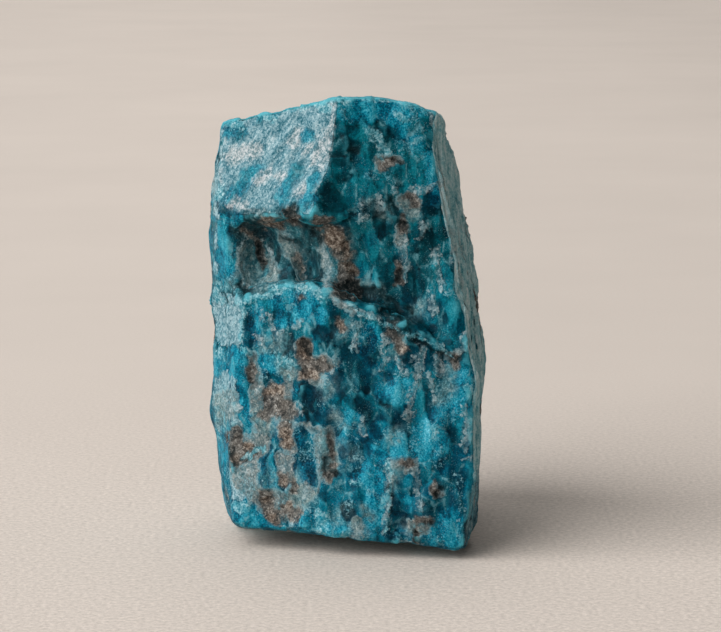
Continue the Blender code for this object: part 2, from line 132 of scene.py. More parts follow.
# marks on the front: half width, then the points they run through, in dots across and down the view
marks = {
    "brown": [
        (8, (306, 342), (308, 360)), (9, (310, 367)), (7, (322, 360)), (5, (331, 362)),
        (9, (272, 388), (275, 400)), (9, (288, 404)), (7, (268, 408)), (6, (286, 420), (287, 434)),
        (4, (252, 360), (253, 374)), (8, (238, 428), (239, 448)), (10, (246, 444)), (8, (255, 445)),
        (6, (266, 486), (270, 500)), (8, (276, 508)), (6, (288, 501)), (5, (297, 508)),
        (5, (285, 469), (287, 473)), (3, (295, 470), (296, 484)), (3, (330, 432), (331, 448)),
        (4, (334, 458)), (3, (326, 468), (336, 470)), (5, (318, 219), (326, 220)), (10, (333, 232)),
        (9, (342, 248)), (10, (348, 268)), (9, (342, 284)), (9, (354, 285)), (5, (272, 219), (282, 222)),
        (6, (290, 212), (296, 216)), (3.4, (258, 238), (262, 248), (266, 262)), (5, (383, 164), (391, 160)),
        (5, (409, 194), (413, 202)), (4, (402, 216), (403, 228)), (4, (397, 262), (398, 278)),
        (6, (392, 328), (398, 340)), (5, (402, 344)), (4, (340, 316), (343, 322)),
        (3, (402, 456), (410, 456)), (4, (432, 480), (436, 486)), (4, (416, 514), (428, 512)),
        (4, (414, 524), (415, 532)), (4, (455, 352), (452, 360)), (3, (302, 293)),
    ],
    "rust": [
        (5, (306, 343), (307, 352)), (4, (304, 370), (316, 370)), (6, (331, 232), (340, 240)),
        (3, (346, 242), (350, 252)), (4, (350, 260), (352, 266)), (4, (271, 386), (281, 386)),
        (4, (285, 426), (288, 436)), (4, (250, 438)), (4, (238, 452)), (5, (274, 510)), (3, (290, 498)),
        (3, (268, 494)), (3, (266, 218), (280, 220)), (3, (403, 344)), (2.5, (456, 354)), (2.5, (286, 472)),
        (2.5, (342, 318)), (2.4, (299, 250), (303, 262), (305, 268)), (2.4, (248, 226), (254, 232)),
    ],
    "sand": [
        (1.6, (250, 228), (242, 246), (240, 264), (247, 278), (262, 288)),
        (1.4, (281, 226), (288, 232), (298, 250), (305, 264), (309, 282)),
        (1.4, (262, 232), (271, 246), (277, 262)), (2, (322, 236), (326, 252), (327, 284)),
        (1.4, (255, 216), (266, 208), (280, 212)),
        (1.8, (228, 519), (240, 526), (256, 528), (275, 528), (300, 530), (323, 533), (335, 536)),
        (1.8, (350, 533), (370, 536), (395, 542), (415, 543), (435, 546), (448, 546)),
        (3, (384, 520), (386, 490), (390, 468), (398, 456)), (2.4, (419, 474), (416, 486), (420, 500)),
        (2.6, (272, 309), (273, 318), (278, 331)), (2.4, (279, 331), (288, 330)),
        (3.5, (296, 320), (302, 318)), (2.6, (263, 307), (266, 316)), (3.5, (258, 337), (262, 336)),
        (3.5, (337, 286), (339, 300)), (2.2, (386, 462), (387, 490)), (2.2, (388, 490), (386, 524)),
        (3, (389, 458), (398, 452)), (3, (408, 460), (416, 468)), (2.4, (417, 474), (417, 500)),
        (3, (430, 484), (436, 480)), (3, (420, 510), (430, 512)), (4, (452, 345), (462, 346)),
        (3.5, (463, 330), (466, 346)), (3, (345, 302), (362, 307), (378, 314)),
        (3, (387, 312), (389, 322), (396, 328)), (3, (384, 332), (384, 364)),
        (2.4, (395, 350), (399, 360), (407, 370)), (2.6, (421, 340), (421, 360)), (3, (439, 342), (438, 368)),
        (3.2, (414, 352), (417, 372)), (3, (425, 367), (430, 380), (435, 396)),
        (3.4, (413, 380), (410, 395), (409, 412)), (2.4, (357, 318), (357, 345)), (4, (362, 414), (364, 426)),
        (3.4, (404, 236), (403, 256)), (2.6, (405, 256), (404, 278)), (3, (420, 218), (421, 234)),
        (3.4, (434, 250), (436, 270)), (4, (438, 276), (442, 284)), (3, (430, 290), (432, 310)),
        (3.4, (410, 190), (424, 187)), (2.6, (426, 187), (440, 181)), (3, (392, 184), (394, 192)),
        (4, (462, 402), (466, 420)), (4.5, (466, 424), (464, 440)), (3, (462, 452), (470, 450)),
        (5, (228, 396), (236, 402)), (4, (233, 414)), (4, (296, 400), (299, 404)),
        (4, (284, 462), (292, 456)), (6, (360, 520), (358, 528)), (2.5, (300, 505), (296, 511)),
        (3.5, (300, 352), (297, 340)), (3, (362, 196), (363, 216)), (4, (378, 194), (380, 206)),
        (3.4, (333, 368), (326, 372)), (3, (414, 404), (406, 410)), (3, (402, 452), (392, 452)),
        (3, (400, 535), (420, 537)), (3, (330, 440), (328, 425)), (3, (310, 478), (304, 492)),
        (2.6, (432, 112), (430, 122)), (2.4, (456, 225), (460, 250)), (2.4, (448, 226), (452, 262)),
    ],
    "ice": [
        (3, (222, 122), (220, 160), (217, 198)), (2, (217, 198), (216, 245), (216, 290)),
        (1.6, (216, 345), (217, 400), (219, 440)), (1.6, (226, 480), (229, 500)),
        (2, (323, 240), (326, 262), (329, 284)), (12, (232, 303), (232, 328)), (4, (236, 414), (240, 418)),
        (6, (237, 470), (240, 486)), (4, (254, 468), (257, 480)), (5, (250, 464), (254, 476)),
        (4, (262, 482), (268, 488)), (4, (300, 486), (292, 480)), (2.2, (292, 517), (296, 509)),
        (6, (239, 297), (239, 334)), (5, (222, 292), (222, 330)), (8, (229, 376), (227, 392)),
        (5, (236, 402), (230, 412)), (5, (226, 464), (226, 484)),
    ],
    "frost": [
        (4, (221, 322), (222, 334)), (5, (224, 284), (230, 276)), (4, (240, 286), (236, 296)),
        (6, (226, 384), (232, 392)), (5, (222, 410)), (4, (229, 462), (229, 484)),
        (7, (250, 478), (250, 488)), (5, (282, 480), (286, 492)), (5, (302, 452), (306, 446)),
        (4, (322, 434), (321, 460)), (4, (316, 497), (309, 503)), (5, (288, 414), (298, 424)),
        (4, (310, 440), (313, 448)), (5, (343, 498), (350, 494)), (5, (372, 522), (366, 530)),
        (4, (396, 532), (416, 536)), (3, (348, 458), (358, 459)), (3, (357, 434), (358, 456)),
        (5, (430, 420), (434, 436)), (4, (436, 444), (438, 456)), (4, (414, 420), (413, 436)),
        (4.5, (464, 396)), (3.4, (366, 174), (374, 177)), (4, (388, 174), (392, 178)),
        (3, (398, 142), (404, 148)), (2.4, (345, 108), (347, 118)), (3, (395, 112), (397, 118)),
        (3.6, (412, 112), (416, 124)), (4, (426, 112), (434, 114)), (3.4, (362, 212), (361, 218)),
        (2.4, (243, 250), (242, 264)), (3, (262, 278), (274, 282)), (2.4, (286, 228), (294, 236)),
        (6, (330, 270), (332, 282)), (3, (417, 300)), (5, (448, 408)), (3, (456, 404)), (3.4, (326, 397)),
        (3.4, (337, 404)), (4, (386, 333)), (4, (380, 343)), (3, (354, 344)), (4, (263, 362), (266, 374)),
        (4, (284, 362), (292, 352)), (3.4, (282, 372), (290, 374)), (3, (268, 346), (278, 352)),
        (3, (376, 438)), (4, (396, 428), (386, 426)), (4, (350, 428), (346, 424)),
        (4, (404, 368), (398, 364)), (3.4, (444, 378), (438, 388)), (3, (442, 282), (449, 292)),
        (3, (456, 470), (460, 500)), (3.4, (460, 520), (462, 528)), (3, (432, 530), (440, 536)),
    ],
    # painted highlights along edges and the ledge, where the light catches them
    "rim": [
        (3, (247, 300), (258, 293), (272, 289)), (3.6, (272, 289), (284, 284), (296, 282)),
        (3.6, (296, 282), (310, 285), (328, 289)), (2.4, (246, 300), (244, 316), (244, 336)),
        (3, (218, 292), (222, 282)), (4.4, (224, 296), (218, 290)), (5, (230, 122), (240, 124)),
        (6, (262, 112), (274, 116)), (3, (300, 106), (306, 104)), (4, (320, 104), (326, 108)),
        (5, (232, 498), (246, 500)), (3, (326, 506), (323, 530)), (2.6, (318, 502), (319, 528)),
        (4, (222, 186), (224, 194)), (3, (340, 533), (350, 526)), (3, (388, 150), (372, 130)),
        (3, (405, 118), (398, 112)), (3, (250, 452), (262, 440)), (2.4, (244, 344), (252, 350)),
        (4, (218, 352), (224, 346)), (3, (434, 422), (432, 432)), (3.6, (464, 380), (466, 392)),
        (3, (296, 362), (280, 352)), (1.6, (222, 119), (255, 110), (300, 103), (340, 99)),
        (1.8, (340, 99), (400, 101), (430, 108), (442, 118)),
        (1, (346, 300), (362, 309), (380, 318), (403, 326), (420, 333), (437, 342), (452, 352)),
        (1.4, (222, 303), (240, 299), (262, 294)), (1.3, (351, 473), (380, 489)),
        (1.2, (408, 147), (420, 136)), (1.2, (365, 125), (372, 140), (383, 160)),
        (1.3, (390, 452), (388, 490), (386, 525)),
    ],
    "vivid": [
        (5, (345, 106), (400, 106), (430, 114)), (7, (227, 228), (226, 250), (227, 268)),
        (5, (222, 214), (236, 216)), (9, (240, 508), (252, 512)), (8, (252, 500), (256, 506)),
        (9, (304, 516), (312, 510)), (11, (332, 522), (340, 524)), (7, (232, 510)),
        (9, (228, 358), (236, 352)), (7, (222, 362)), (7, (234, 374), (242, 380)),
        (7, (251, 408), (248, 424)), (5, (268, 446)), (6, (268, 464), (270, 474)),
        (7, (222, 430), (222, 446)), (6, (300, 436)), (6, (312, 458), (316, 478)),
        (6, (260, 304), (256, 330)), (9, (280, 298), (312, 298)), (8, (286, 312), (300, 310)),
        (6, (310, 306), (322, 312)), (8, (230, 240), (226, 262)), (6, (219, 236), (219, 262)),
        (7, (232, 200), (246, 182), (260, 168)), (6, (284, 196), (292, 178), (298, 168)),
        (5, (306, 194), (316, 174)), (8, (230, 127), (240, 131)), (4, (262, 118), (276, 114)),
        (5, (306, 136), (312, 132)), (6, (312, 196), (304, 204)), (8, (428, 424), (440, 440)),
        (7, (414, 446), (400, 446)), (8, (394, 440), (384, 446)), (6, (350, 412), (344, 420)),
        (6, (460, 372), (464, 386)), (6, (446, 400), (440, 410)), (7, (376, 492), (376, 512)),
        (6, (350, 518), (346, 526)), (10, (448, 512), (454, 532)), (6, (432, 528)), (4, (296, 388)),
        (5, (240, 398), (242, 412)), (5, (276, 360), (262, 356)), (8, (372, 330), (368, 338)),
        (10, (388, 386), (404, 384)), (8, (346, 110), (362, 112)), (8, (378, 108), (400, 112)),
        (6, (410, 136), (416, 146)), (6, (430, 150), (436, 200)), (7, (362, 468), (378, 476)),
        (6, (392, 120), (404, 126)),
    ],
    "matrix": [
        (2.5, (246, 242), (242, 262), (250, 278)), (4, (284, 230), (292, 244), (299, 260), (304, 280)),
        (3, (323, 238), (326, 262), (328, 284)), (3, (270, 256), (277, 270), (268, 280)),
        (13, (247, 440), (245, 468)), (8, (252, 480), (262, 494)), (12, (278, 494), (290, 500)),
        (9, (300, 488), (312, 480)), (5, (288, 420), (291, 442)), (6, (284, 452), (292, 468)),
        (4, (320, 430), (322, 470)), (2.5, (298, 418), (320, 422)), (8, (326, 430), (330, 466)),
        (6, (284, 396), (286, 424)), (6, (262, 408), (262, 440)), (5, (254, 352), (258, 372), (258, 404)),
        (9, (229, 392), (230, 406)), (7, (311, 362), (318, 374)), (6, (290, 366), (288, 384)),
        (6, (318, 356), (332, 358)), (3.4, (340, 300), (352, 306)), (5, (332, 278), (337, 290)),
        (4, (392, 318), (400, 336)), (5, (380, 160), (396, 158)), (7, (402, 200), (412, 206)),
        (4, (398, 222), (400, 240)), (4, (398, 458), (412, 460)), (4, (450, 350), (458, 348)),
        (6, (412, 518), (424, 520)), (4, (432, 482), (437, 486)), (4, (356, 514), (360, 520)),
    ],
    "deep": [
        (7, (250, 222), (266, 228), (277, 248), (290, 274)), (5, (306, 220), (313, 246), (316, 276)),
        (7, (424, 222), (426, 236)), (8, (396, 284), (420, 286)), (9, (432, 300), (440, 314)),
        (8, (344, 340), (350, 356)), (7, (408, 350), (404, 360)), (6, (320, 326), (330, 334)),
        (4, (259, 352), (262, 386)), (5, (250, 316), (256, 332)), (8, (311, 386), (312, 410)),
        (8, (345, 372), (350, 388)), (9, (372, 378), (380, 392)), (7, (360, 396), (372, 412)),
        (9, (455, 440), (458, 470)), (8, (440, 480), (446, 500)), (9, (395, 500), (408, 512)),
        (6, (372, 330), (366, 344)), (8, (412, 270), (408, 290)), (6, (338, 140), (354, 142)),
        (6, (376, 124), (388, 142)), (5, (350, 168), (344, 176)), (9, (420, 256), (424, 276)),
        (7, (428, 198), (434, 206)), (6, (396, 208), (398, 226)), (5, (396, 256), (398, 276)),
        (6, (378, 206), (368, 210)), (6, (346, 206), (350, 210)), (8, (340, 158), (348, 156)),
        (6, (386, 230), (390, 240)), (9, (384, 406), (396, 412)), (8, (404, 408), (404, 424)),
        (7, (310, 398), (312, 412)), (6, (290, 332), (292, 346)), (7, (426, 346), (430, 354)),
        (7, (410, 334), (416, 344)), (8, (354, 366), (362, 372)), (6, (376, 352), (368, 356)),
        (5, (388, 370), (390, 376)), (6, (400, 478), (404, 486)), (7, (396, 502), (404, 502)),
        (5, (266, 432)), (6, (262, 366), (268, 372)), (4, (230, 380), (242, 386)),
        (6, (302, 426), (303, 440)), (6, (306, 452), (313, 476)), (5, (268, 440), (268, 474)),
        (7, (450, 424), (450, 440)), (9, (458, 466), (452, 490)), (5, (426, 498), (428, 504)),
        (5, (426, 236), (430, 244)), (7, (350, 440), (344, 446)), (5, (366, 436), (372, 448)),
        (5, (374, 424), (380, 430)), (5, (244, 288), (232, 294)), (6, (236, 230), (242, 236)),
        (5, (222, 204), (240, 212)), (6, (244, 212), (282, 208)), (5, (262, 228), (276, 236)),
        (5, (276, 238), (286, 258)), (5, (286, 262), (298, 278)), (4, (312, 226), (318, 236)),
        (6, (326, 330), (332, 344)), (4, (336, 314), (338, 322)), (6, (434, 324), (428, 332)),
        (6, (398, 316), (404, 310)), (6, (416, 316), (420, 322)), (6, (350, 500), (346, 506)),
        (5, (392, 520), (394, 528)), (7, (458, 500), (462, 512)), (6, (440, 350), (436, 360)),
        (5, (352, 396), (344, 386)), (5, (444, 452), (440, 462)), (5, (440, 226), (442, 234)),
        (6, (428, 356), (420, 350)), (5, (320, 196), (332, 202)), (7, (332, 190), (336, 204)),
    ],
    # painted shade in the clefts and grooves, which are also sunk into the skin
    "shade": [
        (6, (344, 282), (356, 284)), (7, (352, 290), (366, 290)), (8, (372, 290), (386, 296)),
        (6, (392, 300), (396, 312)), (5, (384, 308), (392, 320)), (4, (396, 324), (408, 326)),
        (3, (410, 332), (436, 346)), (3, (438, 346), (458, 356)), (2.6, (259, 238), (263, 250), (266, 262)),
        (2, (284, 234), (302, 240)), (4, (296, 206), (286, 212)), (3.4, (316, 226), (320, 240)),
        (4, (232, 444), (238, 456)), (3, (306, 340), (312, 350)), (3, (394, 158), (400, 160)),
        (3.4, (390, 196), (392, 206)), (4, (398, 216), (404, 222)), (4, (400, 268), (396, 276)),
        (3, (340, 470), (330, 462)), (3, (324, 452), (326, 466)), (3.4, (412, 524), (414, 530)),
        (3, (426, 516), (432, 514)), (3, (306, 404), (308, 414)), (3, (350, 148), (356, 150)),
        (3, (388, 480), (392, 490)), (3, (438, 488), (440, 480)), (3, (352, 296), (340, 290)),
        (4, (252, 286), (244, 280)), (3, (388, 400), (384, 396)), (2.6, (404, 302), (412, 310)),
    ],
    "grey": [
        (9, (252, 250), (254, 268), (264, 280)), (5, (286, 232), (295, 252), (303, 276)),
        (6, (272, 214), (256, 216)), (10, (272, 340), (282, 338)), (6, (340, 330), (348, 320)),
        (8, (336, 380), (326, 386)), (8, (292, 366), (284, 358)), (6, (334, 410), (340, 418)),
        (8, (262, 410), (268, 420)), (8, (270, 480), (272, 470)), (6, (300, 470), (300, 490)),
        (8, (326, 436), (332, 464)), (7, (346, 502), (340, 508)), (4, (366, 500), (370, 508)),
        (6, (372, 200), (384, 212)), (6, (406, 202), (412, 212)), (6, (366, 282), (378, 286)),
        (7, (420, 300), (412, 312)), (6, (448, 380), (438, 396)), (6, (400, 338), (396, 346)),
        (7, (392, 430), (398, 424)), (7, (340, 440), (352, 446)), (6, (222, 396), (224, 420)),
        (5, (304, 496), (312, 490)), (5, (396, 458), (392, 478)), (6, (354, 516), (364, 524)),
        (5, (404, 514), (410, 524)), (5, (446, 366), (450, 372)),
    ],
    "white": [
        (6, (234, 156), (246, 151), (256, 148)), (3.5, (262, 146)), (4.5, (293, 140), (299, 130)),
        (2.2, (333, 102), (330, 128), (326, 150), (322, 166)), (3.5, (262, 177), (267, 171)),
        (2.6, (300, 191), (304, 184)), (2.2, (280, 176), (283, 172)), (3.5, (236, 201), (246, 203)),
        (2.2, (222, 170), (221, 190)), (2, (306, 150), (312, 142)), (3, (316, 160), (322, 140)),
    ],
}


def ramp(value, low, high):  # 0 at low and 1 at high, smooth in between
    share = np.clip((value - low) / (high - low), 0, 1)
    return share * share * (3 - 2 * share)


def unevenness(points, finer, shift=0.0):  # smooth noise, about -0.5 to 0.5
    return np.array([noise.noise(place) for place in (points * np.array(finer) + shift).tolist()])


def wander(points, finer):  # noise in three directions
    return np.array([noise.noise_vector(place)[:] for place in (points * finer).tolist()])


def blocks(points, width, height, shift=0.0):  # tilted blocks: how far out, which tone, how far from a seam
    stretched = points / np.array((width, width, height)) + shift
    stretched += wander(points, 0.3 / width + 0.25) * 0.24
    out, tones, seams = [], [], []
    for place in stretched.tolist():
        away, middles = noise.voronoi(place)
        middle = middles[0]
        tilt = noise.cell_vector(middle * 9.1)
        leaning = sum((here - centre) * lean for here, centre, lean in zip(place, middle, tilt))
        out.append(0.45 * tilt[2] + 1.1 * leaning)
        tones.append(0.5 + 0.5 * tilt[0])
        seams.append(away[1] - away[0])
    return np.array(out), np.array(tones), np.array(seams)


def bigBlocks(points):
    return blocks(points, *stone["bigBlocks"])


def smallBlocks(points):
    return blocks(points, *stone["smallBlocks"], 5.0)


def getPoints(mesh):
    points = np.empty(len(mesh.vertices) * 3)
    mesh.vertices.foreach_get("co", points)
    return points.reshape(-1, 3) / mm


def getNormals(mesh):
    normals = np.empty(len(mesh.vertices) * 3)
    mesh.vertices.foreach_get("normal", normals)
    return normals.reshape(-1, 3)


def getEdges(mesh):
    ends = np.empty(len(mesh.edges) * 2, np.int32)
    mesh.edges.foreach_get("vertices", ends)
    return ends.reshape(-1, 2)


def around(values, ends):  # mean of a value over each point's neighbours
    one, other = ends.T
    count = np.bincount(ends.ravel(), minlength=len(values))
    sums = np.bincount(one, values[other], len(values)) + np.bincount(other, values[one], len(values))
    return sums / count


def spread(values, ends, rounds):  # evens out a value over the skin
    for _ in range(rounds):
        values = 0.4 * values + 0.6 * around(values, ends)
    return values


def sharpness(points, normals, ends, rounds):  # above 0 on ridges, below 0 in grooves
    flat = np.stack([around(points[:, axis], ends) for axis in range(3)], 1)
    return spread(((points - flat) * normals).sum(1), ends, rounds)


def onBoard(points):  # where a point on the skin is seen against the board
    share = ((sight["board"] - eye.y) / (points[:, 1] - eye.y))[:, None]
    return np.array(eye.xz) + (points[:, [0, 2]] - eye.xz) * share


def toBoard(dots):  # millimetres across and up the board, from dots across and down the view
    across, down = (np.array(dots) - sight["middle"]) / sight["reach"]
    far = (sight["board"] - sight["eye"].y) / (math.cos(lift) - down * math.sin(lift))
    return sight["eye"].x + far * across, sight["eye"].z - far * (down * math.cos(lift) + math.sin(lift))


def insideStrokes(places, strokes):  # mm inside the nearest mark, below 0 outside
    inside = np.full(len(places), -stone["farthest"])
    for halfWidth, *path in strokes:
        halfWidth, path = halfWidth / sight["dotsPerMm"], [toBoard(dots) for dots in path]
        for start, end in zip(path, path[1:] or path):
            start, run = np.array(start), np.array(end) - np.array(start)
            share = np.clip(((places - start) @ run) / max(run @ run, 1e-9), 0, 1)
            away = places - start - share[:, None] * run
            inside = np.maximum(inside, halfWidth - np.sqrt((away ** 2).sum(1)))
    return inside


def beyondMarks(kind, points):  # the same from noise, for where no marks are laid
    if kind == "sand":  # thin veins
        wide = veins["width"] - np.abs(unevenness(points, veins["finer"], veins["shift"])) * veins["narrow"]
        return wide - unevenness(points, veins["gaps"])
    finer, shift, strength, common = beyond[kind]
    inside = unevenness(points, finer, shift) * strength + common
    if kind == "vivid":
        inside += brightSide["strength"] * ramp(points[:, 0], brightSide["from"], brightSide["to"])
    return inside


def unit(vectors):
    return vectors / np.linalg.norm(vectors, axis=1)[:, None]


def layOut(points, normals, ends):  # which kind of crystal or matrix lies where
    x, y, z = points.T
    facing = unit(np.stack([spread(normals[:, axis], ends, 8) for axis in range(3)], 1))
    seen = ramp((facing * unit(np.array(eye) - points)).sum(1), *stone["seenFrom"])
    inView = seen > 0
    shaky = sum(wander(points[inView], finer) * far for finer, far in stone["raggedness"])
    places = onBoard(points[inView]) + shaky[:, [0, 2]]
    fields, farthest = {}, stone["farthest"]
    for kind, strokes in marks.items():
        inside = np.full(len(points), -farthest)
        inside[inView] = insideStrokes(places, strokes)
        fields[kind] = inside * seen + np.clip(beyondMarks(kind, points), -farthest, farthest) * (1 - seen)
    fields["matrix"] = np.minimum(fields["matrix"], 0.2 - fields["vivid"])
    fields["frosted"] = ramp(facing @ np.array(stone["frostedFace"]), 0.90, 0.97)
    fields["frosted"] *= ramp(z, *stone["frostedFrom"])
    fields["plates"] = ramp(facing[:, 0], 0.5, 0.8) * (0.35 + 0.65 * ramp(z, 6, 18))
    fields["level"] = ramp(np.abs(facing[:, 2]), 0.6, 0.9)
    fields["hollow"] = ramp(z, *stone["hollowFoot"]) * ramp(z, *stone["hollowTop"]) * seen
    fields["hollow"] *= ramp(x, *stone["hollowSide"]) * ramp(y, *stone["hollowDepth"])
    return fields


def workIn(points, normals, ends):  # the broken surface
    x, y, z = points.T
    kinds, calm = layOut(points, normals, ends), stone["calm"]
    frosted, plates, upright = kinds["frosted"], kinds["plates"], 1 - kinds["level"]
    soft = {kind: ramp(kinds[kind], -0.1, 0.25) for kind in swell}
    steps = (1 - calm["frosted"] * frosted) * (1 - calm["hollow"] * kinds["hollow"])
    steps *= 1 - calm["vivid"] * soft["vivid"]
    height = stone["bigSteps"] * bigBlocks(points)[0] * steps * (1 - calm["plates"] * plates)
    height += stone["smallSteps"] * smallBlocks(points)[0] * steps
    height += stone["splinters"] * 2 * unevenness(points, (1.3, 1.3, 0.28), 2.0) * (1 - frosted) * upright
    plateEdges = 2.2 * np.abs(unevenness(points, (0.3, 1.1, 0.10), 4.0))
    plateEdges += np.abs(unevenness(points, (0.6, 3.0, 0.22), 8.0))
    height += stone["plates"] * (0.6 - plateEdges) * plates * upright
    slanted = np.stack([x * 0.6 + z * 0.8, y, z * 0.6 - x * 0.8], 1)
    height += stone["streaks"] * 2 * unevenness(slanted, (0.25, 0.5, 1.2), 6.0) * frosted
    height += stone["grit"] * 2 * unevenness(points, 2.1) * (0.7 + 0.8 * soft["brown"] + 0.5 * frosted)
    for kind, depth in swell.items():
        height += depth * soft[kind]
    height *= 0.1 + 0.9 * ramp(z, 0.0, 0.35)  # almost nothing next to the floor
    moved = points + normals * height[:, None]
    underside = normals[:, 2] < -0.95
    moved[:, 2] = np.where(underside, np.maximum(z, 0), np.maximum(moved[:, 2], 0.02))
    clear = ramp(z, *stone["clearHeight"]) * ramp(x, *stone["clearAcross"]) * ramp(y, *stone["clearDepth"])
    moved[:, 2] += stone["clear"] * clear
    return moved


def bakedMesh(thing):  # the mesh with its modifiers worked in
    bpy.context.view_layer.update()
    return bpy.data.meshes.new_from_object(thing.evaluated_get(bpy.context.evaluated_depsgraph_get()))


def workModifiersIn(thing):
    old = thing.data
    thing.data = bakedMesh(thing)
    thing.modifiers.clear()
    bpy.data.meshes.remove(old)


def makeStone(node):
    shape = bmesh.new()  # a copy, so that the solid itself stays as it is
    shape.from_mesh(node.data)
    bmesh.ops.remove_doubles(shape, verts=shape.verts[:], dist=0.001 * mm)
    rough = bpy.data.meshes.new("apatiteStone")
    shape.to_mesh(rough)
    shape.free()
    thing = bpy.data.objects.new("apatiteStone", rough)
    bpy.context.scene.collection.objects.link(thing)
    squares = thing.modifiers.new("even squares", "REMESH")
    squares.mode = "VOXEL"
    squares.voxel_size = stone["square"] * mm
    soften = thing.modifiers.new("soften", "SMOOTH")
    soften.iterations = stone["smoothing"]
    workModifiersIn(thing)
    skin = thing.data
    moved = workIn(getPoints(skin), getNormals(skin), getEdges(skin))
    skin.vertices.foreach_set("co", (moved * mm).ravel())
    skin.update()
    print("breaks worked in, at", len(skin.vertices), "points")
    skin.calc_loop_triangles()
    thin = thing.modifiers.new("thin out", "DECIMATE")
    thin.ratio = min(1, stone["triangles"] / len(skin.loop_triangles))
    workModifiersIn(thing)
    return thing


rawStone = makeStone(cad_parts["apatite"])
skin = rawStone.data
points, normals, ends = getPoints(skin), getNormals(skin), getEdges(skin)
fields = layOut(points, normals, ends)
fields["ridge"] = np.clip(sharpness(points, normals, ends, 2) / stone["ridge"], -1, 1)
# painted light through thin, standing-out edges
fields["thin"] = np.clip(spread(fields["ridge"], ends, 5) * 2.0 - 0.5, 0, 1)
fields["thin"] = np.maximum(fields["thin"], fields["level"] * ramp(points[:, 2], 38, 40))  # and painted light along the top
fields["blockOut"], fields["block"], fields["seam"] = bigBlocks(points)
_, fields["smallBlock"], _ = smallBlocks(points)
for kind, values in fields.items():
    skin.attributes.new(kind, "FLOAT", "POINT").data.foreach_set("value", values.astype(np.float32))
skin.shade_smooth()
print("stone laid out, with", len(skin.polygons), "faces")


# finishes
class Wire:  # an output of a node, with the sums that a finish needs
    def __init__(self, finish, socket):
        self.finish, self.socket = finish, socket

    def sum(self, operation, first, second):
        return self.finish.node("ShaderNodeMath", {"operation": operation}, {0: first, 1: second})

    def __add__(self, other):
        return self.sum("ADD", self, other)

    def __sub__(self, other):
        return self.sum("SUBTRACT", self, other)

    def __mul__(self, other):
        return self.sum("MULTIPLY", self, other)

    def __rsub__(self, other):
        return self.sum("SUBTRACT", other, self)

    __radd__, __rmul__ = __add__, __mul__

    def rise(self, low, high):  # 0 below low, 1 above high
        return self.finish.node("ShaderNodeMapRange", {"interpolation_type": "SMOOTHSTEP"},
                                {"Value": self, "From Min": low, "From Max": high})

    def most(self, other):
        return self.sum("MAXIMUM", self, other)

    def part(self, axis):
        return self.finish.node("ShaderNodeSeparateXYZ", {}, {"Vector": self}, axis)


class Finish:
    def __init__(self, name):
        self.material = bpy.data.materials.new(name)
        self.material.use_nodes = True
        self.tree = self.material.node_tree
        self.shader = self.tree.nodes["Principled BSDF"]

    def node(self, kind, settings, sockets, output=0):
        made = self.tree.nodes.new(kind)
        for name, value in settings.items():
            if name == "stops":
                self.setStops(made.color_ramp, value)
            else:
                setattr(made, name, value)
        for name, value in sockets.items():
            self.join(made.inputs[name], value)
        return Wire(self, made.outputs[output])

    def join(self, socket, value):
        if isinstance(value, Wire):
            self.tree.links.new(value.socket, socket)
        else:
            socket.default_value = value

    def setStops(self, colours, stops):
        while len(colours.elements) < len(stops):
            colours.elements.new(0.5)
        for element, (place, colour) in zip(colours.elements, stops):
            element.position = place
            element.color = (*colour, 1)

    def mixed(self, share, under, over):
        def full(colour):
            return colour if isinstance(colour, Wire) else (*colour, 1)
        return self.node("ShaderNodeMix", {"data_type": "RGBA"}, {0: share, 6: full(under), 7: full(over)}, 2)

    def ramped(self, share, stops):
        return self.node("ShaderNodeValToRGB", {"stops": stops}, {"Fac": share})

    def vector(self, operation, first, second):
        return self.node("ShaderNodeVectorMath", {"operation": operation}, {0: first, 1: second})

    def place(self):  # places on the thing, in millimetres
        return self.vector("MULTIPLY", self.node("ShaderNodeTexCoord", {}, {}, "Object"), (1 / mm,) * 3)

    def value(self, name):
        return self.node("ShaderNodeAttribute", {"attribute_name": name}, {}, "Fac")

    def noise(self, place, finer, detail=3.0, rough=0.55, output="Fac"):
        sockets = {"Vector": place, "Scale": finer, "Detail": detail, "Roughness": rough}
        return self.node("ShaderNodeTexNoise", {}, sockets, output)

    def cells(self, place, finer, output="Color"):
        return self.node("ShaderNodeTexVoronoi", {}, {"Vector": place, "Scale": finer}, output)

    def facets(self, place, finer):  # heights of small tilted faces, about -0.5 to 0.5
        near = self.cells(place, finer)
        middle = Wire(self, near.socket.node.outputs["Position"])
        scaled = self.vector("MULTIPLY", self.vector("SUBTRACT", place, middle), (finer, finer, finer))
        tilt = self.vector("SUBTRACT", near, (0.5, 0.5, 0.5))
        return self.node("ShaderNodeVectorMath", {"operation": "DOT_PRODUCT"}, {0: scaled, 1: tilt}, "Value")


